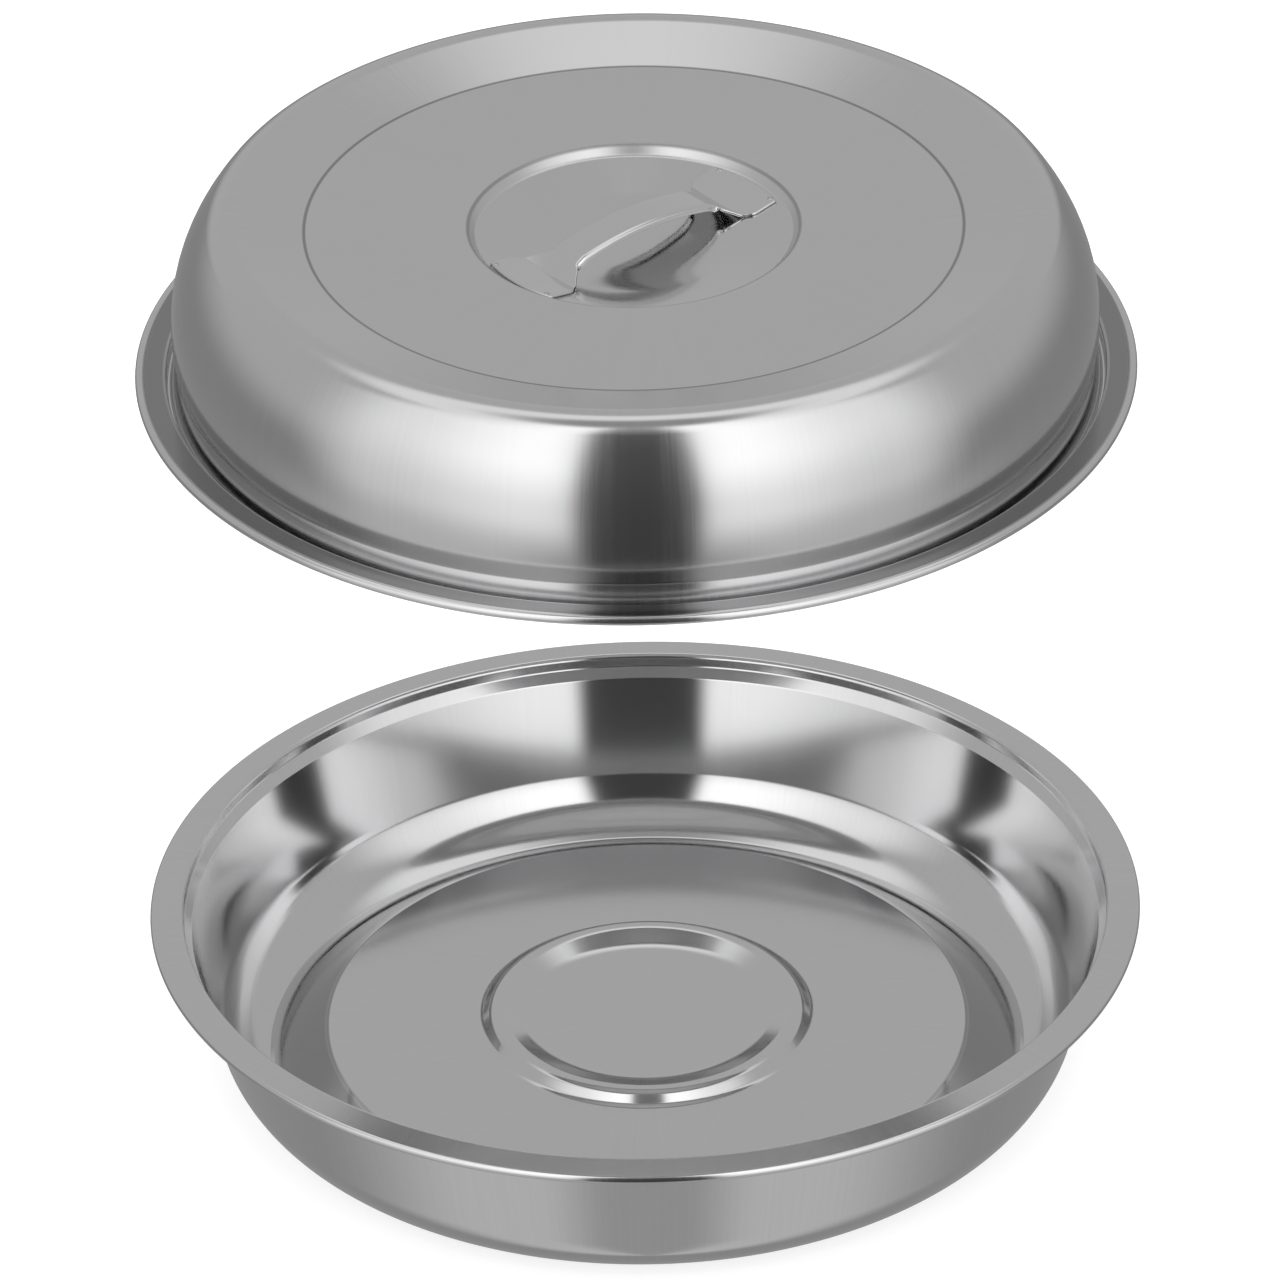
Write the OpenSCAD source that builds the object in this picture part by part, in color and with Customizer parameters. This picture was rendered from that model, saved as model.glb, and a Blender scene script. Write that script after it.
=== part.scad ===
// Round steel pan with a pressed, domed lid. Both are single sheets drawn to shape, with a curled
// rim. The lid is held above the pan, and it comes straight down onto the pan's flange.
// Z is up, the origin is the middle of the pan's foot ring, on the surface that the pan stands on.

/* [Pan] */
// Outside radius of the pan at its curled rim
pan_r = 150; // [146:0.5:156]
// Height of the pan's flange, where it turns down into the mouth
pan_h = 54; // [52:0.2:57]
// Thickness of the pan's sheet
pan_t = 0.8; // [0.6:0.1:1]
// Inside radius of the mouth, just below the flange
mouth_r = 140.1; // [139.9:0.1:141]
// Radius of the raised round floor
floor_r = 97.2; // [94:0.2:98]
// Outside radius of the raised ring in the middle of the floor
boss_r = 47.2; // [46:0.2:49]

/* [Lid] */
// Outside radius of the lid at its curled rim
lid_r = 147.4; // [146.8:0.2:148]
// Height of the flat top above the middle of the curled rim
lid_h = 46.4; // [45:0.2:48]
// Thickness of the lid's sheet
lid_t = 0.7; // [0.5:0.1:0.7]
// Radius of the flat top, inside the raised shoulder
top_r = 96.4; // [94:0.2:98]
// Radius of the finger recess
recess_r = 48.6; // [48.4:0.2:51]
// Depth of the finger recess
recess_depth = 7.5; // [7:0.1:8]
// Height of the lid above its closed place
lift = 186; // [0:1:250]

/* [Handle] */
// Width of the strap across the arch
strap_w = 12.5; // [10:0.5:14]
// Width of each foot
foot_w = 27; // [22:0.5:28]
// Thickness of the strap
strap_t = 0.8; // [0.6:0.1:1]
// Height of the arch above the flat top
arch_rise = 3; // [2:0.2:5]
// Direction of the strap, seen from above
strap_turn = 39.6; // [0:0.2:90]
// Depth of the strap's turned-down edges
strap_edge = 2.2; // [1.6:0.1:2.6]

/* [Hidden] */
$fn = 144;

bend_step = 4;            // degrees between points on a bend
curl_end = -130;          // where a curled edge stops, as an angle round the curl
clearance = 0.3;          // gap between the closed lid and the pan's flange

// pan: corners of the upper face, each [radius, height, bend radius]
pan_curl = 1.4;
rim_fall = 5.3;           // slope of the flange, in degrees
pan_curl_x = pan_r - pan_curl;
flange_drop = (pan_curl_x + pan_curl * sin(rim_fall) - mouth_r) * tan(rim_fall);
pan_curl_z = pan_h - flange_drop - pan_curl * cos(rim_fall);
boss_z = 11.3;            // height of the floor where it meets the raised ring
PAN = [
    [0, boss_z + 0.5, 0],
    [boss_r - 11.2, boss_z + 0.5, 14],
    [boss_r - 3.2, boss_z + 3.4, 6],
    [boss_r, boss_z + 3.4, 3.4],
    [boss_r + 3.6, boss_z, 3.4],
    [floor_r, boss_z - 0.9, 1.2],
    [floor_r + 15.7, pan_t, 4],
    [floor_r + 18.7, pan_t, 4],
    [mouth_r - 12.5, 6, 22],
    [mouth_r - 2.5, pan_h - 7.3, 1.5],
    [mouth_r - 0.3, pan_h - 4, 1.2],
    [mouth_r, pan_h, 1.4],
    [pan_curl_x + pan_curl * sin(rim_fall), pan_h - flange_drop, 0]
];

// lid: the same, with heights counted from the middle of its curled rim
lid_curl = 1.5;
lid_flange_z = 0.8;
lid_curl_x = lid_r - lid_curl;
seat_z = pan_h - (lid_curl_x - mouth_r) * tan(rim_fall) + lid_curl + clearance;
lid_z = seat_z + lift;
recess_z = lid_h - recess_depth;
bowl_x = 22;              // radius where the recess floor starts to rise
bowl_slope = 10;          // slope of the recess floor under the feet, in degrees
bowl_edge = recess_r - 2.2;
bowl_rise = 0.45;         // rise of the recess floor from its middle to bowl_x
LID = [
    [0, recess_z, 0],
    [bowl_x, recess_z + bowl_rise, 100],
    [bowl_edge, recess_z + bowl_rise + (bowl_edge - bowl_x) * tan(bowl_slope), 2],
    [recess_r, lid_h, 1.2],
    [top_r, lid_h, 1],
    [121.3, lid_h + 6.6, 9.3],
    [138.7, lid_h - 15.7, 51],
    [135.2, 5.5, 4],
    [136.9, -3.2, 0.7],
    [138.25, -3.2, 0.7],
    [138.3, lid_flange_z, 0.8],
    [lid_curl_x - sqrt(pow(lid_curl, 2) - pow(lid_flange_z, 2)), lid_flange_z, 0]
];

// handle: half of the strap's side view, from the middle out, with heights from the lid's rim
arch_x = 23.5;            // where the arch meets the ramp
foot_x = 32;              // where the ramp meets the foot
foot_r = 45;              // radius of the feet's outer edges
ramp_top = lid_h + 0.3;
STRAP = [
    [0, lid_h + arch_rise, 0],
    [arch_x / 2, lid_h + arch_rise, 85],
    [arch_x, ramp_top, 2],
    [foot_x, bowl_z(foot_x) + strap_t / cos(bowl_slope), 1.5],
    [foot_x + 2, bowl_z(foot_x + 2) + strap_t / cos(bowl_slope), 0]
];
flare_start = 25;         // where the strap starts to widen, and where its edges run out
flare_end = 36;           // where it reaches the foot's width
weld_r = 1.3;
weld_x = foot_r - 0.8;    // distance of the welds from the middle of the lid
weld_turn = asin((foot_w / 2 - 2) / weld_x);   // angle of a weld from the middle of its foot

// height of the recess floor at radius r, under the feet
function bowl_z(r) = recess_z + bowl_rise + (r - bowl_x) * tan(bowl_slope);

// ---- outlines of bent sheet -------------------------------------------------------------

function unit(v) = v / norm(v);
function flat(rows) = [for (row = rows) each row];
function backwards(points) = [for (i = [len(points) - 1:-1:0]) points[i]];
function spot(corner) = [corner[0], corner[1]];
function below(u) = [u.y, -u.x];

// points on an arc about c, from angle a to angle b
function arc(c, r, a, b) =
    let (n = max(2, ceil(abs(b - a) / bend_step)))
    [for (i = [0:n]) c + r * [cos(a + (b - a) * i / n), sin(a + (b - a) * i / n)]];

// the bend of radius r at v, between the directions u and w
function bend(v, u, w, r) =
    let (turn = atan2(u.x * w.y - u.y * w.x, u * w), side = -below(u) * sign(turn))
    let (c = v - u * r * tan(abs(turn) / 2) + side * r, a = atan2(-side.y, -side.x))
    arc(c, r, a, a + turn);

// one corner of the face that lies depth below the upper face
function bent_corner(a, b, c, depth) =
    let (u = unit(spot(b) - spot(a)), w = unit(spot(c) - spot(b)))
    let (p = below(u), q = below(w), v = spot(b) + depth * (p + q) / (1 + p * q))
    bend(v, u, w, b[2] + depth * sign(u.x * w.y - u.y * w.x));

// the whole face that lies depth below the upper face of the sheet with these corners
function face(corners, depth) =
    let (n = len(corners) - 1)
    let (first = unit(spot(corners[1]) - spot(corners[0])))
    let (last = unit(spot(corners[n]) - spot(corners[n - 1])))
    concat(
        [[corners[0][0], corners[0][1] - depth]],
        flat([for (i = [1:n - 1])
            bent_corner(corners[i - 1], corners[i], corners[i + 1], depth)]),
        [spot(corners[n]) + depth * below(last)]
    );

// the closed outline of a sheet of thickness t
function sheet(corners, t) = concat(face(corners, 0), backwards(face(corners, t)));

// ---- the pieces ---------------------------------------------------------------------------

module pan_section() {
    curl = [pan_curl_x, pan_curl_z];
    start = 90 - rim_fall;
    polygon(concat(
        face(PAN, 0), arc(curl, pan_curl, start, curl_end),
        backwards(arc(curl, pan_curl - pan_t, start, curl_end)), backwards(face(PAN, pan_t))
    ));
}

module lid_section() {
    curl = [lid_curl_x, 0];
    upper = 180 - asin(lid_flange_z / lid_curl);
    lower = 180 - asin((lid_flange_z - lid_t) / (lid_curl - lid_t));
    polygon(concat(
        face(LID, 0), arc(curl, lid_curl, upper, curl_end),
        backwards(arc(curl, lid_curl - lid_t, lower, curl_end)), backwards(face(LID, lid_t))
    ));
}

module pan() {
    color([0.78, 0.79, 0.8]) rotate_extrude() pan_section();
}

module lid() {
    color([0.74, 0.75, 0.76]) translate([0, 0, lid_z]) rotate_extrude() lid_section();
}

// half width of the strap at distance s from its middle
function half_width(s) =
    let (k = min(1, max(0, (s - flare_start) / (flare_end - flare_start))))
    strap_w / 2 + (foot_w - strap_w) / 2 * (1 - cos(180 * k)) / 2;

// the strap from above, with its rounded feet
module strap_plan() {
    steps = 12;
    side = [for (i = [0:steps])
        let (s = flare_start + (flare_end - flare_start) * i / steps) [s, half_width(s)]];
    half = concat([[0, strap_w / 2]], side, [[foot_r + 2, foot_w / 2]]);
    intersection() {
        circle(r = foot_r);
        for (m = [0, 1]) mirror([m, 0])
            polygon(concat(half, backwards([for (p = half) [p.x, -p.y]])));
    }
}

// the room below the recess floor
module under_recess() {
    rotate_extrude() polygon([
        [0, recess_z - 5], [bowl_edge, recess_z - 5], [bowl_edge, bowl_z(bowl_edge)],
        [bowl_x, bowl_z(bowl_x)], [0, bowl_z(bowl_x)]
    ]);
}

// the feet, laid on the sloping floor of the recess
module feet() {
    thick = strap_t / cos(bowl_slope);
    inner = foot_x - 0.5;
    intersection() {
        rotate_extrude() polygon([
            [inner, bowl_z(inner)], [foot_r, bowl_z(foot_r)],
            [foot_r, bowl_z(foot_r) + thick], [inner, bowl_z(inner) + thick]
        ]);
        translate([0, 0, recess_z]) linear_extrude(2 * recess_depth) strap_plan();
    }
}

// the arch and its two ramps, without the turned-down edges
module arch() {
    intersection() {
        for (m = [0, 1]) mirror([m, 0, 0]) rotate([90, 0, 0])
            linear_extrude(2 * foot_w, center = true) polygon(sheet(STRAP, strap_t));
        translate([0, 0, recess_z]) linear_extrude(2 * recess_depth) strap_plan();
    }
}

// height of the upper face of the arch and ramps at distance s from the strap's middle
function arch_z(s) =
    let (a = abs(s), drop = (ramp_top - STRAP[3].y) / (foot_x - arch_x))
    a < arch_x ? lid_h + arch_rise - (arch_rise - 0.3) * pow(a / arch_x, 2)
        : ramp_top - (a - arch_x) * drop;

// the turned-down edges of the arch, which fade out on the ramps
module strap_edges() {
    steps = 20;
    along = [for (i = [-steps:steps]) flare_start * i / steps];
    upper = [for (s = along) [s, arch_z(s) - strap_t / 2]];
    lower = [for (s = along)
        [s, arch_z(s) - strap_t / 2 - (strap_edge - strap_t / 2) * sqrt(1 - pow(s / flare_start, 2))]];
    for (side = [-1, 1]) translate([0, side * (strap_w - strap_t) / 2, 0]) rotate([90, 0, 0])
        linear_extrude(strap_t, center = true) polygon(concat(upper, backwards(lower)));
}

module lid_handle() {
    color([0.8, 0.81, 0.82]) translate([0, 0, lid_z]) rotate(strap_turn) difference() {
        union() {
            feet();
            arch();
            strap_edges();
        }
        under_recess();
    }
}

// four tack welds, one at each outer corner of the feet
module handle_welds() {
    color([0.7, 0.71, 0.72]) translate([0, 0, lid_z]) rotate(strap_turn)
        for (end = [0, 180], side = [-1, 1]) difference() {
            rotate(end + side * weld_turn) translate([weld_x, 0, bowl_z(weld_x) + 0.3])
                sphere(r = weld_r, $fn = 48);
            feet();
            under_recess();
        }
}

pan();
lid();
lid_handle();
handle_welds();
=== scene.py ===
"""Lidded steel pan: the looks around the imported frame. Lengths are in millimetres in the outlines
and become metres in the meshes. Heights of the pan count from its foot ring, heights of the lid and
its strap from the middle of the lid's curled rim."""

import math

import bpy
import numpy as np
from mathutils import Matrix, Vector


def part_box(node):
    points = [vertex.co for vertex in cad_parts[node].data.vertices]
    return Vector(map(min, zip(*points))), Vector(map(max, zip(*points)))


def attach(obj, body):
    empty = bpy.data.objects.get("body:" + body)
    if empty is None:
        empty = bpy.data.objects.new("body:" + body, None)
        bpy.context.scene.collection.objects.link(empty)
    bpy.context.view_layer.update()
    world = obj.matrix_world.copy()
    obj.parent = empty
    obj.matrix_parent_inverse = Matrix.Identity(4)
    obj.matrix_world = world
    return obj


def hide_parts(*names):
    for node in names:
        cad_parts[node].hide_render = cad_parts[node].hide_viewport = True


MM = 0.001

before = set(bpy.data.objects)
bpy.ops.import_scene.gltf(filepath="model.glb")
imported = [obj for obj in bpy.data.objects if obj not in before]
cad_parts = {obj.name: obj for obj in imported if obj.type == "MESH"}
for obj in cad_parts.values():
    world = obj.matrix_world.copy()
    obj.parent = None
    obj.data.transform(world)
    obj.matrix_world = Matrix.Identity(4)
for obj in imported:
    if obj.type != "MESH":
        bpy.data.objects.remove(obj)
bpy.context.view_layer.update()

# ---- sizes of the pan, from the frame -----------------------------------------------------------

pan_low, pan_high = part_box("pan")
lid_low, lid_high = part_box("lid")

PAN_R = (pan_high.x - pan_low.x) / 2 / MM     # outside of the curled rim
PAN_H = pan_high.z / MM + 0.126               # corner at the mouth, which its bend rounds off
PAN_T = 0.8                                   # thickness of the sheet
MOUTH_R = PAN_R - 9.9                         # just below the flange
FLOOR_R = PAN_R - 52.8                        # raised round floor
BOSS_R = 47.2                                 # raised ring in the middle of the floor
BOSS_Z = 11.3                                 # height of the floor beside the ring
PAN_CURL = 1.4                                # radius of the curled rim
CURL_END = -130.0                             # where both curled rims stop, in degrees
RIM_FALL = 5.3                                # slope of the flange, in degrees
WALL_LEAN = 5.5                               # upward, of the inner wall's shading, in degrees
WALL_NORMAL = (0.8, 0.92)                     # inward share of a normal: no lean, and all of it

# ---- sizes of the lid ---------------------------------------------------------------------------

LID_R = (lid_high.x - lid_low.x) / 2 / MM     # outside of the curled rim
LID_T = 0.7                                   # thickness of the sheet
LID_H = 46.4                                  # flat top
TOP_R = LID_R - 51.0                          # flat top, inside the raised shoulder
RECESS_R = 48.6                               # finger recess
RECESS_DEPTH = 7.5
LID_CURL = 1.5                                # radius of the curled rim
LID_FLANGE_Z = 0.8
BOWL_R = 22.0                                 # where the recess floor starts to rise
BOWL_RISE = 0.45                              # of the recess floor, from its middle to there
BOWL_SLOPE = math.tan(math.radians(10))

# ---- sizes of the strap and its welds -----------------------------------------------------------

STRAP_HALF = 6.25                             # half of the strap's width across the arch
FOOT_HALF = 13.5                              # half of its width at the feet
STRAP_T = 0.8                                 # thickness of the sheet
ARCH_RISE = 3.0                               # middle of the arch, above the flat top
ARCH_END_RISE = 0.3                           # end of the arch, above the flat top
ARCH_X = 23.5                                 # from the middle to the ramp
FOOT_X = 32.0                                 # from the middle to the foot
FOOT_R = 45.0                                 # outer edge of the feet
FLARE = (25.0, 36.0)                          # where the strap widens
ARCH_BLEND, FOOT_BLEND = 0.18, 0.12           # roundness where the arch and the foot meet the ramp
EDGE_DEPTH = 2.2                              # of the turned-down edges
EDGE_BEND = 1.3                               # radius of their bend
EDGE_TURN = math.radians(82)
EDGE_END = (25.5, 28.0)                       # where they run out
STRAP_TURN = math.radians(39.6)               # of the strap on the lid
RIM_BULGE = 0.22                              # roundness of the sheet's cut edge

WELD_X = FOOT_R - 0.8                         # from the middle to the tack welds
WELD_TURN = math.asin((FOOT_HALF - 2) / WELD_X)
WELD_R = 1.15
WELD_TOP = 1.25                               # above the recess floor
WELD_DEPTH = 1.3                              # from its top to its foot

# ---- fineness of the meshes ---------------------------------------------------------------------

BEND_STEP = 4.0                               # degrees between rings on a bend
RINGS = 256                                   # segments round the pan and lid
STRAP_ROWS, STRAP_COLUMNS = 220, 44           # along and across the strap
FLAT_SHARE, BEND_SHARE = 0.6, 0.9             # of the columns, up to the edge's bend and to its end
RIM_STEPS = 4                                 # between the two faces of the strap
WELD_RINGS, WELD_SEGMENTS = 7, 24

# ---- texture of the steel -----------------------------------------------------------------------

STREAK_SCALE = 160.0                          # how quickly streaks vary round a piece
STREAK_RUN = 14.0                             # and how quickly along each streak
CLOUD_SCALE = 26.0                            # of the mottling
STREAK_TONE = 0.96                            # of the darkest streaks
STREAK_BUMP = 0.00004                         # metres
CREASE_SHADE_EDGE = (0.2, 0.7)                      # from the middle of a painted shade line: full shade and none
SHADE_BAND_BLUR = 0.5                               # half width of a painted shade ring's soft edges
SATIN_BLUR = 0.6                              # width of a duller ring's soft edges
RECESS_WALL = (3.4, 2.2)                      # foot of the recess wall, inwards from a duller ring
RECESS_DULL = (-0.3, 2.4)                     # recess floor and wall, as shares of the ring's dullness
RECESS_STREAK = 0.15                          # share of the streaks inside the ring
INSIDE_TILT = (-0.75, -0.4)                   # upward share of a normal: inside and outside finish

# ---- studio -------------------------------------------------------------------------------------
# Levels are brightness. A pair holds the angles, in degrees, where a change starts and ends.

GAP_LEVEL = 0.06                              # dark gap in front, where the viewer stands
GAP_EDGE = (12.5, 17.5)
GAP_FOOT = (-52.0, -38.0)
GAP_TOP = (40.0, 80.0)
BOX_LEVEL = 1.1                               # front boxes
BOX_EDGE = (64.0, 90.0)
BOX_GLOW = 0.5                                # added beside the gap
BOX_GLOW_EDGE = (24.0, 66.0)
BOX_LOWER, BOX_UPPER = (-45.0, -8.0), (-2.0, 28.0)
BOX_LOWER_SHARE = 0.64                        # of the brightness, that the lower rise brings
BOX_TOP = (68.0, 80.0)
BAND_LEVEL = 0.86                             # bright band high up, as a share of the boxes
BAND_FOOT = (48.0, 60.0)
WALL_LOW, WALL_HIGH = 0.3, 0.54
WALL_RISE = (-12.0, 10.0)
BACK_LOW = 0.28                               # wall behind the piece, low down
BACK_EDGE = (110.0, 160.0)
SIDE_HIGH = 0.54                              # side walls, high up
SIDE_EDGE, SIDE_RISE = (120.0, 155.0), (10.0, 45.0)
TOP = 0.34
TOP_EDGE = (70.0, 84.0)
GROUND, GROUND_SIDE = 0.62, 0.33              # below the horizon, in front and at the sides
GROUND_EDGE = (60.0, 120.0)
GROUND_GAP, GROUND_GAP_EDGE = 0.4, (12.0, 40.0)
GROUND_TOP = (-16.0, -42.0)

FLOOR_TONE, FLOOR_GLOW = 0.48, 0.72
FLOOR_HALF = 12.0                             # metres
FLOOR_DROP = 0.0002                           # metres below the pan
FILL_SIZE, FILL_POWER = 3.0, 60.0             # metres and watts
FILL_AT = (0, -0.4, 2.6)

LENS = 307.0                                  # on a sensor 36 mm wide
CAMERA_AT = (-0.0002, -2.7803, 1.851)
CAMERA_PITCH, CAMERA_ROLL = 58.47, -0.95      # degrees


# ---- outlines of bent sheet ---------------------------------------------------------------------


def unit(v):
    return v / np.linalg.norm(v)


def left(u):
    return np.array([-u[1], u[0]])


def arc(centre, radius, start, end, out=1.0):
    """Points on an arc, each with its normal; out is -1 where the normal faces the centre."""
    count = max(2, math.ceil(abs(end - start) / BEND_STEP))
    rows = []
    for i in range(count + 1):
        angle = math.radians(start + (end - start) * i / count)
        ray = np.array([math.cos(angle), math.sin(angle)])
        rows.append((centre + radius * ray, out * ray))
    return rows


def bend(corner, u, w, radius):
    """The bend at a corner between directions u and w; its normals lie on the left of the path."""
    turn = math.atan2(u[0] * w[1] - u[1] * w[0], float(u @ w))
    side = left(u) * math.copysign(1, turn)
    centre = corner - u * radius * math.tan(abs(turn) / 2) + side * radius
    start = math.degrees(math.atan2(-side[1], -side[0]))
    return arc(centre, radius, start, start + math.degrees(turn), -math.copysign(1.0, turn))


def face(corners, depth):
    """The face that lies depth below the upper face, from the axis outwards, with upper normals.
    A corner is its distance from the axis, its height and the radius of the upper face's bend."""
    spots = [np.array(c[:2], float) for c in corners]
    along = [unit(b - a) for a, b in zip(spots, spots[1:])]
    rows = [(spots[0] - np.array([0, depth]), np.array([0.0, 1.0]))]
    for (_, _, radius), spot, u, w in zip(corners[1:], spots[1:], along, along[1:]):
        p, q = -left(u), -left(w)
        corner = spot + depth * (p + q) / (1 + p @ q)
        turn = u[0] * w[1] - u[1] * w[0]
        rows += bend(corner, u, w, radius + depth * math.copysign(1, turn))
    rows.append((spots[-1] - depth * left(along[-1]), left(along[-1])))
    return rows


def turned_over(rows):
    return [(spot, -normal) for spot, normal in reversed(rows)]


def leant(normal):
    """Normals of the inner wall lean up a little, so that its mirror image clears the rim."""
    start, full = WALL_NORMAL
    share = min(1.0, max(0.0, (-normal[0] - start) / (full - start)))
    lean = math.radians(WALL_LEAN) * share
    c, s = math.cos(lean), math.sin(lean)
    return np.array([normal[0] * c + normal[1] * s, normal[1] * c - normal[0] * s])


def pan_outline():
    curl_x = PAN_R - PAN_CURL
    fall = math.radians(RIM_FALL)
    drop = (curl_x + PAN_CURL * math.sin(fall) - MOUTH_R) * math.tan(fall)
    curl = np.array([curl_x, PAN_H - drop - PAN_CURL * math.cos(fall)])
    corners = [
        (0, BOSS_Z + 0.5, 0),
        (BOSS_R - 11.2, BOSS_Z + 0.5, 14),
        (BOSS_R - 3.2, BOSS_Z + 3.4, 6),
        (BOSS_R, BOSS_Z + 3.4, 3.4),
        (BOSS_R + 3.6, BOSS_Z, 3.4),
        (FLOOR_R, BOSS_Z - 0.9, 1.2),
        (FLOOR_R + 15.7, PAN_T, 4),
        (FLOOR_R + 18.7, PAN_T, 4),
        (MOUTH_R - 12.5, 6, 22),
        (MOUTH_R - 2.5, PAN_H - 7.3, 1.5),
        (MOUTH_R - 0.3, PAN_H - 4, 1.2),
        (MOUTH_R, PAN_H, 1.4),
        (curl_x + PAN_CURL * math.sin(fall), PAN_H - drop, 0),
    ]
    start = 90 - RIM_FALL
    upper = face(corners, 0) + arc(curl, PAN_CURL, start, CURL_END)[1:]
    lower = face(corners, PAN_T) + arc(curl, PAN_CURL - PAN_T, start, CURL_END)[1:]
    upper = [(spot, leant(normal)) for spot, normal in upper]
    return upper, turned_over(lower)


def bowl_z(r):
    return LID_H - RECESS_DEPTH + BOWL_RISE + (r - BOWL_R) * BOWL_SLOPE


def lid_outline():
    curl_x = LID_R - LID_CURL
    curl = np.array([curl_x, 0.0])
    bowl_edge = RECESS_R - 2.2
    corners = [
        (0, LID_H - RECESS_DEPTH, 0),
        (BOWL_R, LID_H - RECESS_DEPTH + BOWL_RISE, 100),
        (bowl_edge, bowl_z(bowl_edge), 2),
        (RECESS_R, LID_H, 1.2),
        (TOP_R, LID_H, 1),
        (TOP_R + 24.9, LID_H + 6.6, 9.3),
        (TOP_R + 42.3, LID_H - 15.7, 51),
        (TOP_R + 38.8, 5.5, 4),
        (TOP_R + 40.5, -3.2, 0.7),
        (TOP_R + 41.85, -3.2, 0.7),
        (TOP_R + 41.9, LID_FLANGE_Z, 0.8),
        (curl_x - math.sqrt(LID_CURL ** 2 - LID_FLANGE_Z ** 2), LID_FLANGE_Z, 0),
    ]
    outer = 180 - math.degrees(math.asin(LID_FLANGE_Z / LID_CURL))
    inner = 180 - math.degrees(math.asin((LID_FLANGE_Z - LID_T) / (LID_CURL - LID_T)))
    upper = face(corners, 0) + arc(curl, LID_CURL, outer, CURL_END)
    lower = face(corners, LID_T) + arc(curl, LID_CURL - LID_T, inner, CURL_END)
    return upper, turned_over(lower)


LID_Z = lid_high.z / MM - max(spot[1] for spot, _ in lid_outline()[0])


# ---- meshes -------------------------------------------------------------------------------------


def make_piece(name, points, faces, normals=None, materials=()):
    """A mesh piece; normals holds one vector for each face corner."""
    mesh = bpy.data.meshes.new(name)
    mesh.from_pydata(points, [], faces)
    for material in materials:
        mesh.materials.append(material)
    mesh.shade_smooth()
    if normals is not None:
        mesh.normals_split_custom_set(normals)
    mesh.update()
    piece = bpy.data.objects.new(name, mesh)
    bpy.context.scene.collection.objects.link(piece)
    return piece


def lathe(name, runs, z, material):
    """Turns the closed outline made of these runs round the Z axis. The first and last points lie
    on the axis. A run is a smooth stretch, and the outline has an edge where two runs meet."""
    rows, edges = [], []
    for run in runs:
        for k, (spot, normal) in enumerate(run):
            if k:
                edges.append((len(rows) - 1, len(rows), run[k - 1][1], normal))
            rows.append(spot)
    for k in range(1, len(runs)):
        last = sum(len(run) for run in runs[:k]) - 1
        cut = unit(rows[last + 1] - rows[last])
        edges.append((last, last + 1, left(cut), left(cut)))
    angles = [2 * math.pi * i / RINGS for i in range(RINGS)]
    turn = np.array([(math.cos(a), math.sin(a)) for a in angles])
    pole = [k for k, spot in enumerate(rows) if spot[0] < 1e-6]
    base, points = {}, []
    for k, spot in enumerate(rows):
        base[k] = len(points)
        height = (spot[1] + z) * MM
        if k in pole:
            points.append((0.0, 0.0, height))
        else:
            points += [(spot[0] * c * MM, spot[0] * s * MM, height) for c, s in turn]
    faces, normals = [], []

    def corner(k, i):
        return base[k] if k in pole else base[k] + i % RINGS

    def ray(normal, i):
        c, s = turn[i % RINGS]
        return (normal[0] * c, normal[0] * s, normal[1])

    for a, b, na, nb in edges:
        for i in range(RINGS):
            loop = [(a, i, na), (b, i, nb), (b, i + 1, nb), (a, i + 1, na)]
            if a in pole:
                loop = loop[:3]
            elif b in pole:
                loop = [loop[0], loop[1], loop[3]]
            faces.append([corner(k, j) for k, j, _ in loop])
            normals += [ray(n, j) for _, j, n in loop]
    return make_piece(name, points, faces, normals, [material])


def smooth_min(a, b, k):
    return (a + b - math.sqrt((a - b) ** 2 + k * k)) / 2


def smooth_max(a, b, k):
    return (a + b + math.sqrt((a - b) ** 2 + k * k)) / 2


def ease(t):
    t = min(1.0, max(0.0, t))
    return (1 - math.cos(math.pi * t)) / 2


RAMP_TOP = LID_H + ARCH_END_RISE
FOOT_THICK = STRAP_T / math.cos(math.atan(BOWL_SLOPE)) + 0.04


def strap_half_width(s):
    return STRAP_HALF + (FOOT_HALF - STRAP_HALF) * ease((s - FLARE[0]) / (FLARE[1] - FLARE[0]))


def strap_height(s, t):
    """Height of the strap's upper face, s along it and t across it."""
    foot = bowl_z(math.hypot(s, t)) + FOOT_THICK
    ramp_foot = bowl_z(math.hypot(FOOT_X, t)) + FOOT_THICK
    arch = LID_H + ARCH_RISE - (ARCH_RISE - ARCH_END_RISE) * (s / ARCH_X) ** 2
    ramp = RAMP_TOP + (ramp_foot - RAMP_TOP) * (s - ARCH_X) / (FOOT_X - ARCH_X)
    return smooth_max(smooth_min(arch, ramp, ARCH_BLEND), foot, FOOT_BLEND)


def edge_fade(s):
    """How far the edges are turned down, from 1 along the arch to 0 at the feet."""
    return 1 - ease((s - EDGE_END[0]) / (EDGE_END[1] - EDGE_END[0]))


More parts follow.
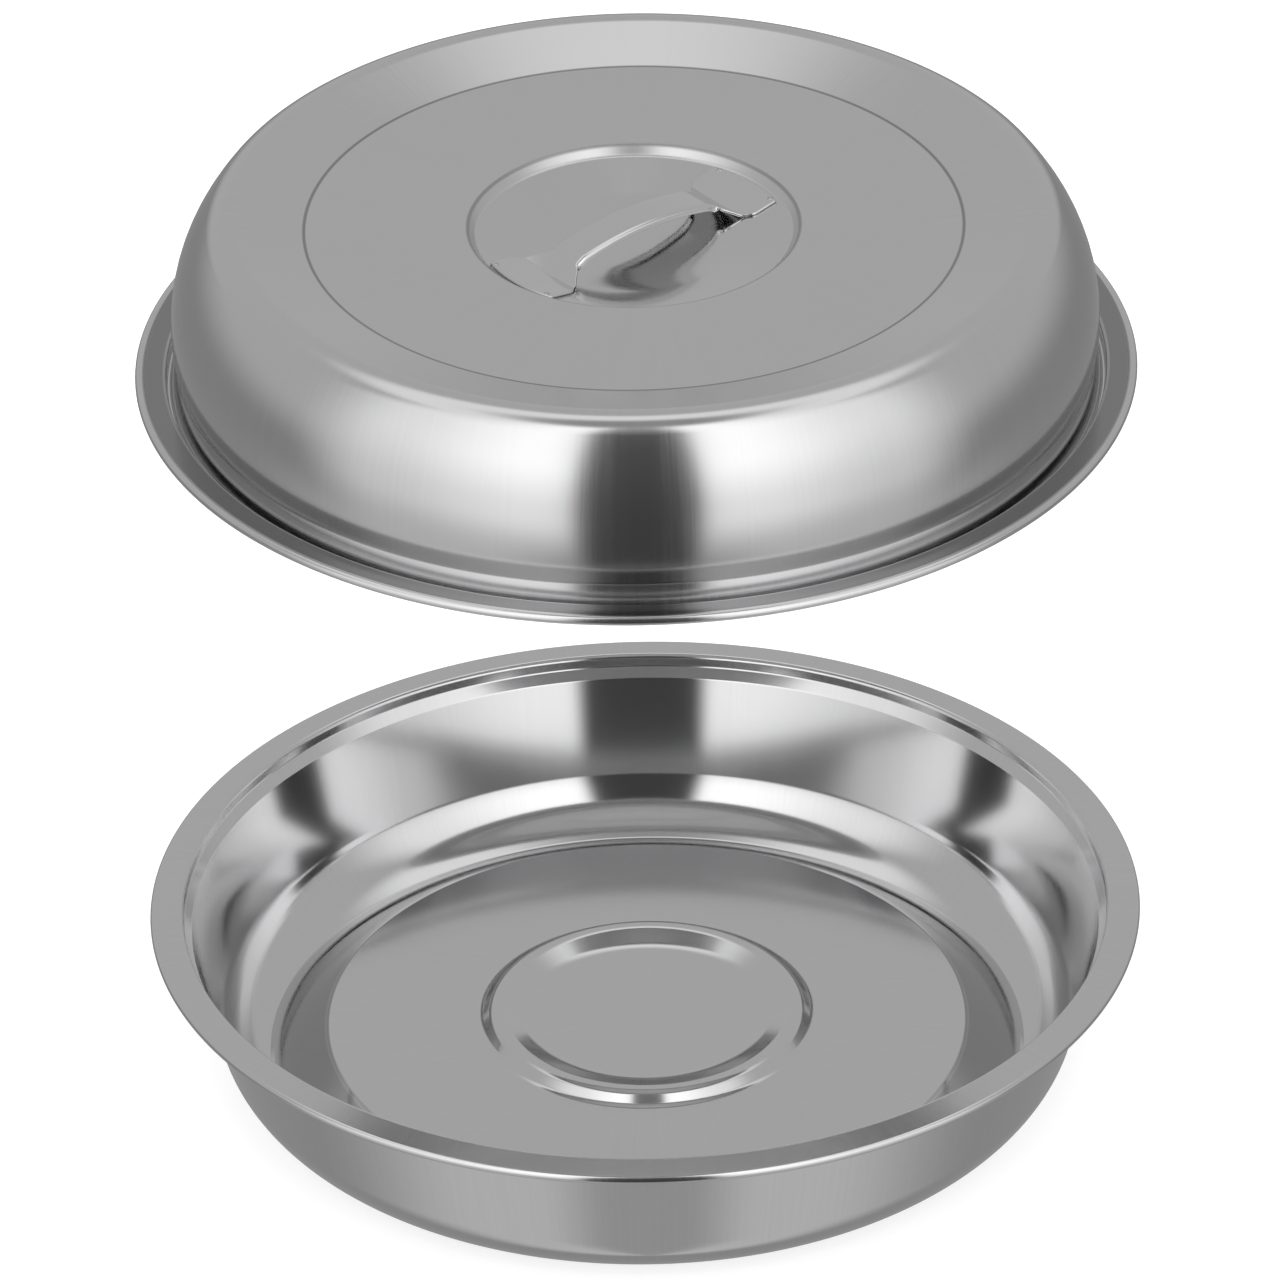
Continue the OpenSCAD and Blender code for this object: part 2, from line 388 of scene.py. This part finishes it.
def strap_point(s, share):
    """A point of the upper face. share runs from -1 to 1 across the strap."""
    end = abs(share)
    fade = edge_fade(abs(s))
    turn = EDGE_TURN * fade
    skirt = (EDGE_DEPTH - EDGE_BEND) * fade
    width = strap_half_width(abs(s))
    flat = width - EDGE_BEND * math.sin(turn) - skirt * math.cos(turn)
    if turn < 1e-6:
        across, down = width * end, 0.0
    elif end <= FLAT_SHARE:
        across, down = flat * end / FLAT_SHARE, 0.0
    elif end <= BEND_SHARE:
        a = turn * (end - FLAT_SHARE) / (BEND_SHARE - FLAT_SHARE)
        across, down = flat + EDGE_BEND * math.sin(a), EDGE_BEND * (1 - math.cos(a))
    else:
        k = skirt * (end - BEND_SHARE) / (1 - BEND_SHARE)
        across = flat + EDGE_BEND * math.sin(turn) + k * math.cos(turn)
        down = EDGE_BEND * (1 - math.cos(turn)) + k * math.sin(turn)
    t = math.copysign(across, share) if share else 0.0
    start = FLARE[1] - 1
    if abs(s) > start:
        reach = math.sqrt(max(FOOT_R ** 2 - t * t, 0))
        along = start + (reach - start) * (abs(s) - start) / (FOOT_R - start)
        s = math.copysign(along, s)
    return np.array([s, t, strap_height(abs(s), abs(t)) - down])


def make_strap(material):
    shares = [math.sin(math.pi / 2 * (2 * j / STRAP_COLUMNS - 1)) for j in range(STRAP_COLUMNS + 1)]
    upper = np.array([[strap_point(FOOT_R * (2 * i / STRAP_ROWS - 1), share) for share in shares]
                      for i in range(STRAP_ROWS + 1)])
    along = np.gradient(upper, axis=0)
    across = np.gradient(upper, axis=1)
    normal = np.cross(along, across)
    normal /= np.linalg.norm(normal, axis=2)[..., None]
    lower = upper - normal * STRAP_T
    turn = np.array(Matrix.Rotation(STRAP_TURN, 3, "Z"))

    # the sheet's edge is rounded: a ring of points between the two faces, pushed outwards
    count_i, count_j = upper.shape[:2]
    border = [(i, 0) for i in range(count_i)]
    border += [(count_i - 1, j) for j in range(1, count_j)]
    border += [(i, count_j - 1) for i in range(count_i - 2, -1, -1)]
    border += [(0, j) for j in range(count_j - 2, 0, -1)]
    points = np.concatenate([upper.reshape(-1, 3), lower.reshape(-1, 3)])
    faces = []
    total = count_i * count_j
    for i in range(count_i - 1):
        for j in range(count_j - 1):
            a, b = i * count_j + j, (i + 1) * count_j + j
            faces.append([a, b, b + 1, a + 1])
            faces.append([total + a, total + a + 1, total + b + 1, total + b])
    extra, rim = [], []
    for i, j in border:
        inside = upper[min(max(i, 1), count_i - 2), min(max(j, 1), count_j - 2)]
        out = upper[i, j] - inside
        out -= normal[i, j] * (out @ normal[i, j])
        out /= np.linalg.norm(out)
        ring = [i * count_j + j]
        for k in range(1, RIM_STEPS):
            share = k / RIM_STEPS
            bulge = RIM_BULGE * math.sin(math.pi * share)
            ring.append(2 * total + len(extra))
            extra.append(upper[i, j] - normal[i, j] * STRAP_T * share + out * bulge)
        ring.append(total + i * count_j + j)
        rim.append(ring)
    for a, b in zip(rim, rim[1:] + rim[:1]):
        for k in range(RIM_STEPS):
            faces.append([a[k], a[k + 1], b[k + 1], b[k]])
    points = np.concatenate([points, np.array(extra)]) @ turn.T
    points = (points + np.array([0, 0, LID_Z])) * MM
    return make_piece("strap_handle", points.tolist(), faces, None, [material])


def make_welds(material):
    """Four tack welds: low, slightly uneven beads on the corners of the feet."""
    points, faces = [], []
    for index in range(4):
        angle = STRAP_TURN + (math.pi if index > 1 else 0) + WELD_TURN * (1 if index % 2 else -1)
        centre = WELD_X * np.array([math.cos(angle), math.sin(angle)])
        start = len(points)
        top = bowl_z(WELD_X) + WELD_TOP
        points.append((*centre, top))
        for i in range(1, WELD_RINGS + 1):
            phi = math.pi / 2 * i / WELD_RINGS
            for j in range(WELD_SEGMENTS):
                a = 2 * math.pi * j / WELD_SEGMENTS
                uneven = 1 + 0.07 * math.sin(3 * a + 2 * index) + 0.04 * math.sin(5 * a + index)
                r = WELD_R * math.sin(phi) * uneven
                points.append((centre[0] + r * math.cos(a), centre[1] + r * math.sin(a),
                               top - WELD_DEPTH * (1 - math.cos(phi))))
        points.append((*centre, top - WELD_DEPTH))
        end = len(points) - 1
        for j in range(WELD_SEGMENTS):
            k = (j + 1) % WELD_SEGMENTS
            faces.append([start, start + 1 + j, start + 1 + k])
            for i in range(WELD_RINGS - 1):
                a = start + 1 + i * WELD_SEGMENTS
                faces.append([a + j, a + WELD_SEGMENTS + j, a + WELD_SEGMENTS + k, a + k])
            last = start + 1 + (WELD_RINGS - 1) * WELD_SEGMENTS
            faces.append([last + j, end, last + k])
    scaled = [tuple(v * MM for v in (x, y, z + LID_Z)) for x, y, z in points]
    return make_piece("tack_welds", scaled, faces, None, [material])


# ---- materials ----------------------------------------------------------------------------------


def node_tools(owner):
    """Functions that add a node, a maths node and a smooth step to a material or a world."""
    tree = owner.node_tree

    def add(kind, inputs=(), **settings):
        node = tree.nodes.new(kind)
        for key, value in settings.items():
            setattr(node, key, value)
        for key, value in dict(inputs).items():
            socket = node.inputs[key]
            if isinstance(value, bpy.types.NodeSocket):
                tree.links.new(value, socket)
            else:
                socket.default_value = value
        return node

    def maths(operation, *values):
        return add("ShaderNodeMath", dict(enumerate(values)), operation=operation).outputs[0]

    def step(value, start, end, low=0.0, high=1.0):
        return add("ShaderNodeMapRange", {"Value": value, "From Min": start, "From Max": end,
                                          "To Min": low, "To Max": high},
                   interpolation_type="SMOOTHSTEP").outputs[0]

    return add, maths, step


def steel(name, base, rough, streak=0.0, mottle=0.03, satin=None, crease_shade=(), band=None,
          brushed=None, inside=None):
    """Stainless steel with upright or radial streaks by angle, and mottling. satin is the inner and
    outer radius of a duller ring and its added roughness. The crease lines are painted shade: radii
    of thin dark lines, with their tone. band is a darker ring of painted shade: inner and outer
    radius and tone. brushed is the radius where stronger streaks start, and their strength. inside
    is the metallic share and roughness of faces that look down."""
    material = bpy.data.materials.new(name)
    material.use_nodes = True
    tree = material.node_tree
    add, maths, step = node_tools(material)
    shader = tree.nodes["Principled BSDF"]
    shader.inputs["Metallic"].default_value = 1.0
    place = add("ShaderNodeTexCoord").outputs["Object"]
    parts = add("ShaderNodeSeparateXYZ", {0: place})
    flat = add("ShaderNodeCombineXYZ", {"X": parts.outputs["X"], "Y": parts.outputs["Y"]})
    ray = add("ShaderNodeVectorMath", {0: flat.outputs[0]}, operation="NORMALIZE")
    radius = add("ShaderNodeVectorMath", {0: flat.outputs[0]}, operation="LENGTH")

    # streaks vary quickly round the piece and slowly along each line
    slow = add("ShaderNodeVectorMath", {0: place, "Scale": STREAK_RUN}, operation="SCALE")
    fast = add("ShaderNodeVectorMath", {0: ray.outputs[0], "Scale": STREAK_SCALE}, operation="SCALE")
    lines_at = add("ShaderNodeVectorMath", {0: fast.outputs[0], 1: slow.outputs[0]}, operation="ADD")
    lines = add("ShaderNodeTexNoise", {"Vector": lines_at.outputs[0], "Scale": 1.0, "Detail": 4.0,
                                      "Roughness": 0.65})
    cloud = add("ShaderNodeTexNoise", {"Vector": place, "Scale": CLOUD_SCALE, "Detail": 3.0})

    def ramp(start, end, low, high):
        return step(radius.outputs["Value"], start * MM, end * MM, low, high)

    level = rough - streak / 2
    if satin:
        inner, outer, dull = satin
        bowl, wall = (level + share * dull for share in RECESS_DULL)
        duller = ramp(inner, inner + SATIN_BLUR, wall, level + dull)
        level = ramp(outer - SATIN_BLUR, outer, duller, level)
        if inner:
            level = ramp(inner - RECESS_WALL[0], inner - RECESS_WALL[1], bowl, level)
    depth = ramp(brushed[0] - 1.5, brushed[0], streak, brushed[1]) if brushed else streak
    if satin and satin[0]:
        depth = ramp(satin[0] - 1.0, satin[0], streak * RECESS_STREAK, streak)
    spread = maths("MULTIPLY_ADD", lines.outputs["Fac"], depth, level)
    rough_out = maths("MULTIPLY_ADD", cloud.outputs["Fac"], mottle, spread)
    if inside:
        normal = add("ShaderNodeNewGeometry").outputs["Normal"]
        upright = add("ShaderNodeSeparateXYZ", {0: normal}).outputs["Z"]
        facing = add("ShaderNodeMapRange", {"Value": upright, "From Min": INSIDE_TILT[0],
                                            "From Max": INSIDE_TILT[1]}).outputs[0]
        rough_out = maths("MULTIPLY_ADD", maths("SUBTRACT", rough_out, inside[1]), facing, inside[1])
        metallic = maths("MULTIPLY_ADD", facing, 1 - inside[0], inside[0])
        tree.links.new(metallic, shader.inputs["Metallic"])
    tree.links.new(rough_out, shader.inputs["Roughness"])

    tone = add("ShaderNodeMapRange", {"Value": lines.outputs["Fac"], "From Min": 0.25,
                                      "From Max": 0.75, "To Min": STREAK_TONE}).outputs[0]
    # painted shade: each crease line darkens the colour in a thin ring at its radius
    near, far = CREASE_SHADE_EDGE
    for edge, dark in crease_shade:
        line = maths("MAXIMUM", ramp(edge - far, edge - near, 1.0, dark),
                     ramp(edge + near, edge + far, dark, 1.0))
        tone = maths("MULTIPLY", tone, line)
    # painted shade: band darkens the colour in a wider ring
    if band:
        inner, outer, dark = band
        ring = maths("MAXIMUM", ramp(inner - SHADE_BAND_BLUR, inner + SHADE_BAND_BLUR, 1.0, dark),
                     ramp(outer - SHADE_BAND_BLUR, outer + SHADE_BAND_BLUR, dark, 1.0))
        tone = maths("MULTIPLY", tone, ring)
    colour = add("ShaderNodeVectorMath", {0: base, "Scale": tone}, operation="SCALE")
    tree.links.new(colour.outputs[0], shader.inputs["Base Color"])

    height = maths("MULTIPLY", lines.outputs["Fac"], depth)
    bump = add("ShaderNodeBump", {"Height": height, "Distance": STREAK_BUMP, "Strength": 0.6})
    tree.links.new(bump.outputs[0], shader.inputs["Normal"])
    return material


def make_materials():
    return {
        # pan: a painted shade line at the raised floor's edge, and a painted shade ring on its slope
        # down into the trough
        "pan": steel("pan_steel", (0.66, 0.66, 0.665), 0.09, streak=0.012,
                     satin=(0, FLOOR_R, 0.02), crease_shade=((FLOOR_R + 0.3, 0.8),),
                     band=(FLOOR_R + 1, FLOOR_R + 15.5, 0.72), brushed=(MOUTH_R + 1, 0.09)),
        # lid: painted shade lines at the edges of the flat top and the finger recess, and a painted
        # reflection of its own dark wall that darkens the flange
        "lid": steel("lid_steel", (0.65, 0.65, 0.655), 0.14, streak=0.08, mottle=0.04,
                     satin=(RECESS_R, TOP_R, 0.08), crease_shade=((TOP_R, 0.5), (RECESS_R, 0.6)),
                     band=(TOP_R + 42.6, LID_R - 2.6, 0.46), inside=(0.35, 0.5)),
        "strap": steel("handle_steel", (0.68, 0.68, 0.685), 0.07, mottle=0.04),
        "weld": steel("weld_steel", (0.5, 0.5, 0.505), 0.3, mottle=0.2),
    }


# ---- light, floor and camera --------------------------------------------------------------------


def make_world():
    """A light tent: two soft boxes in front, a dark gap between them where the viewer stands, a
    bright band high up all round, grey walls at the sides and back, and a dark top. The camera sees
    plain white instead."""
    world = bpy.data.worlds.new("studio")
    bpy.context.scene.world = world
    world.use_nodes = True
    tree = world.node_tree
    tree.nodes.clear()
    add, maths, step = node_tools(world)
    way = add("ShaderNodeTexCoord").outputs["Generated"]
    parts = add("ShaderNodeSeparateXYZ", {0: way})

    def blend(share, low, high):
        rise = maths("SUBTRACT", high, low)
        return maths("MULTIPLY_ADD", rise, share, low)

    towards = maths("MULTIPLY", parts.outputs["Y"], -1.0)
    to_degrees = 180 / math.pi
    azimuth = maths("MULTIPLY", maths("ARCTAN2", parts.outputs["X"], towards), to_degrees)
    side = maths("ABSOLUTE", azimuth)
    height = maths("MULTIPLY", maths("ARCSINE", parts.outputs["Z"]), to_degrees)

    box_width = step(side, *BOX_EDGE, 1.0, 0.0)
    box_rise = maths("ADD", step(height, *BOX_LOWER, 0.0, BOX_LOWER_SHARE),
                     step(height, *BOX_UPPER, 0.0, 1 - BOX_LOWER_SHARE))
    box = maths("MULTIPLY", maths("MULTIPLY", box_width, box_rise), step(height, *BOX_TOP, 1.0, 0.0))
    band = maths("MULTIPLY", step(height, *BAND_FOOT), step(height, *BOX_TOP, BAND_LEVEL, 0.0))
    glow = step(side, *BOX_GLOW_EDGE, BOX_LEVEL + BOX_GLOW, BOX_LEVEL)

    low_walls = step(side, *BACK_EDGE, WALL_LOW, BACK_LOW)
    walls = blend(step(height, *WALL_RISE), low_walls, WALL_HIGH)
    high_sides = maths("MULTIPLY", step(height, *SIDE_RISE), step(side, *SIDE_EDGE, 1.0, 0.0))
    walls = blend(high_sides, walls, SIDE_HIGH)
    walls = blend(step(height, *TOP_EDGE), walls, TOP)
    ground = step(side, *GROUND_EDGE, GROUND, GROUND_SIDE)
    ground = blend(step(side, *GROUND_GAP_EDGE), GROUND_GAP, ground)
    walls = blend(step(height, *GROUND_TOP), walls, ground)

    light = blend(maths("MAXIMUM", box, band), walls, glow)
    gap = maths("MULTIPLY", step(side, *GAP_EDGE, 1.0, 0.0), step(height, *GAP_FOOT))
    light = blend(gap, light, blend(step(height, *GAP_TOP), GAP_LEVEL, TOP))
    tent = add("ShaderNodeBackground", {"Color": (1, 1, 1, 1), "Strength": light})
    plain = add("ShaderNodeBackground", {"Color": (1, 1, 1, 1), "Strength": 1.0})
    seen = add("ShaderNodeLightPath").outputs["Is Camera Ray"]
    mix = add("ShaderNodeMixShader", {0: seen, 1: tent.outputs[0], 2: plain.outputs[0]})
    output = tree.nodes.new("ShaderNodeOutputWorld")
    tree.links.new(mix.outputs[0], output.inputs["Surface"])


def make_floor():
    """A white floor that mirrors leave out."""
    half = FLOOR_HALF
    corners = [(-half, -half, 0), (half, -half, 0), (half, half, 0), (-half, half, 0)]
    material = bpy.data.materials.new("floor_white")
    material.use_nodes = True
    shader = material.node_tree.nodes["Principled BSDF"]
    shader.inputs["Base Color"].default_value = (FLOOR_TONE, FLOOR_TONE, FLOOR_TONE, 1)
    shader.inputs["Roughness"].default_value = 1.0
    shader.inputs["Specular IOR Level"].default_value = 0.0
    shader.inputs["Emission Color"].default_value = (1, 1, 1, 1)
    shader.inputs["Emission Strength"].default_value = FLOOR_GLOW
    floor = make_piece("floor", corners, [[0, 1, 2, 3]], None, [material])
    floor.location.z = -FLOOR_DROP
    floor.visible_glossy = False


def make_fill():
    """A wide overhead light that mirrors leave out."""
    lamp = bpy.data.lights.new("fill", "AREA")
    lamp.shape = "DISK"
    lamp.size = FILL_SIZE
    lamp.energy = FILL_POWER
    light = bpy.data.objects.new("fill", lamp)
    light.location = FILL_AT
    light.visible_glossy = False
    bpy.context.scene.collection.objects.link(light)


def make_camera():
    data = bpy.data.cameras.new("camera")
    data.sensor_width = 36.0
    data.lens = LENS
    data.clip_start, data.clip_end = 0.1, 100.0
    camera = bpy.data.objects.new("camera", data)
    camera.location = CAMERA_AT
    pitch = Matrix.Rotation(math.radians(CAMERA_PITCH), 3, "X")
    roll = Matrix.Rotation(math.radians(CAMERA_ROLL), 3, "Z")
    camera.rotation_mode = "QUATERNION"
    camera.rotation_quaternion = (pitch @ roll).to_quaternion()
    bpy.context.scene.collection.objects.link(camera)
    bpy.context.scene.camera = camera


def main():
    make_camera()
    make_world()
    make_floor()
    make_fill()
    bpy.context.scene.view_settings.view_transform = "Standard"

    looks = make_materials()
    pan = lathe("steel_pan", pan_outline(), 0, looks["pan"])
    lid = lathe("steel_lid", lid_outline(), LID_Z, looks["lid"])
    strap = make_strap(looks["strap"])
    welds = make_welds(looks["weld"])
    places = (
        (pan, "pan", "pan", "pan_steel"),
        (lid, "lid", "lid", "lid_steel"),
        (strap, "lid", "lid_handle", "handle_steel"),
        (welds, "lid", "handle_welds", "weld_steel"),
    )
    for piece, body, node, slot in places:
        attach(piece, body)
        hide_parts(node)


main()
bpy.context.view_layer.update()
